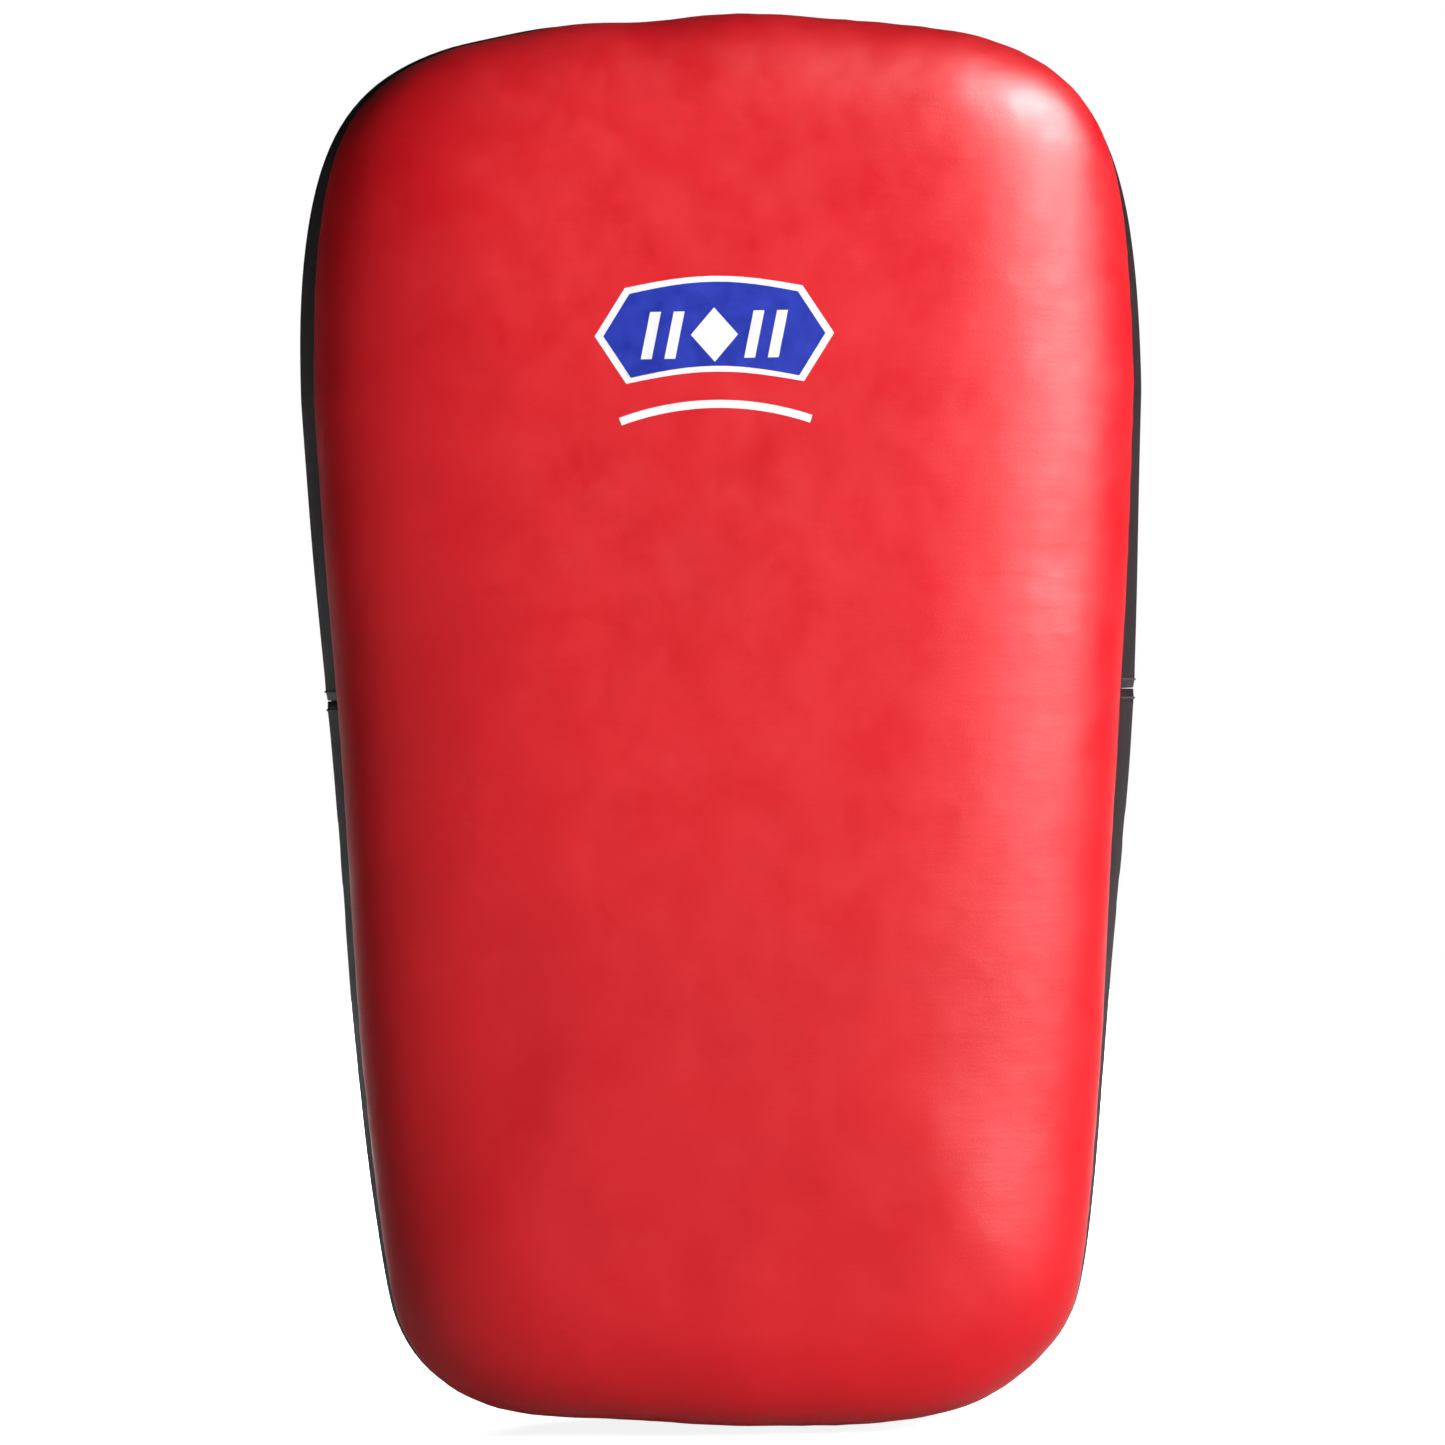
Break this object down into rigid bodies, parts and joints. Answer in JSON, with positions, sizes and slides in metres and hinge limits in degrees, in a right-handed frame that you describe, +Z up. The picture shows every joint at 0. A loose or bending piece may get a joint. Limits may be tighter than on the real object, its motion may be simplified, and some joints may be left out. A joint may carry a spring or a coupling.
{
  "type": "thai pad",
  "caption": "Tapered foam kick pad in a leather case, with a grip handle, a forearm cushion and hook-and-loop forearm straps on its back.",
  "frame": {"origin": "middle of the flat at the lower end, on which the pad stands", "axes": "+Z up the pad's length towards the handle end, +Y out of the back where the straps and the handle are, so the striking face looks along -Y; +X to the right seen from the striking side"},
  "size_m": [0.2382, 0.1703, 0.4],
  "materials": {
    "red_leather": "satin",
    "gusset_leather": "satin",
    "back_leather": "satin",
    "pad_leather": "satin",
    "grip_leather": "satin",
    "strap_leather": "satin",
    "strap_webbing": "matte",
    "binding_tape": "matte",
    "hook_tape": "matte",
    "loop_tape": "matte",
    "emblem_print": "satin",
    "soft_foam": "matte",
    "dense_foam": "matte",
    "board": "matte",
    "steel": "polished"
  },
  "bodies": {
    "pad": {"back_panel": "back_leather", "backing_board": "board", "core_foam": "dense_foam", "edge_binding": "binding_tape", "forearm_pad_cover": "pad_leather", "forearm_pad_foam": "soft_foam", "front_emblem": "emblem_print", "front_foam": "soft_foam", "front_panel": "red_leather", "gusset_lower": "gusset_leather", "gusset_upper": "gusset_leather", "handle_foot_left": "strap_webbing", "handle_foot_right": "strap_webbing", "handle_patch_left": "back_leather", "handle_patch_right": "back_leather", "handle_rivet_left_1": "steel", "handle_rivet_left_2": "steel", "handle_rivet_right_1": "steel", "handle_rivet_right_2": "steel", "lower_counter_foot": "strap_webbing", "lower_counter_patch": "back_leather", "lower_strap_foot": "strap_webbing", "lower_strap_patch": "back_leather", "lower_strap_rivet_left_1": "steel", "lower_strap_rivet_left_2": "steel", "lower_strap_rivet_right_1": "steel", "lower_strap_rivet_right_2": "steel", "rear_foam": "soft_foam", "upper_counter_foot": "strap_webbing", "upper_counter_patch": "back_leather", "upper_strap_foot": "strap_webbing", "upper_strap_patch": "back_leather", "upper_strap_rivet_left_1": "steel", "upper_strap_rivet_left_2": "steel", "upper_strap_rivet_right_1": "steel", "upper_strap_rivet_right_2": "steel", "vent_eyelet_left_1": "steel", "vent_eyelet_left_2": "steel", "vent_eyelet_right_1": "steel", "vent_eyelet_right_2": "steel"},
    "handle": {"handle_strap": "strap_webbing", "handle_grip_foam": "soft_foam", "handle_grip_cover": "grip_leather"},
    "lower_over": {"lower_over_strap": "strap_leather", "lower_hook_patch": "hook_tape"},
    "lower_counter": {"lower_counter_strap": "strap_webbing", "lower_loop_patch": "loop_tape"},
    "upper_over": {"upper_over_strap": "strap_leather", "upper_hook_patch": "hook_tape"},
    "upper_counter": {"upper_counter_strap": "strap_webbing", "upper_loop_patch": "loop_tape"}
  },
  "joints": [
    {"name": "lower_over_open", "type": "hinge", "parent": "pad", "child": "lower_over", "pos_m": [-0.0698, 0.049, 0.1055], "axis": [0, 0, 1], "range_deg": [0, 90]},
    {"name": "lower_counter_flex", "type": "hinge", "parent": "pad", "child": "lower_counter", "pos_m": [0.0635, 0.049, 0.1055], "axis": [0, 0, 1], "range_deg": [0, 25], "stiffness_Nm_per_rad": 0.2},
    {"name": "upper_over_open", "type": "hinge", "parent": "pad", "child": "upper_over", "pos_m": [-0.0698, 0.049, 0.2095], "axis": [0, 0, 1], "range_deg": [0, 90]},
    {"name": "upper_counter_flex", "type": "hinge", "parent": "pad", "child": "upper_counter", "pos_m": [0.0635, 0.049, 0.2095], "axis": [0, 0, 1], "range_deg": [0, 25], "stiffness_Nm_per_rad": 0.2},
    {"name": "handle_flex", "type": "hinge", "parent": "pad", "child": "handle", "pos_m": [0, 0.04625, 0.322], "axis": [1, 0, 0], "range_deg": [-15, 15], "stiffness_Nm_per_rad": 4}
  ]
}
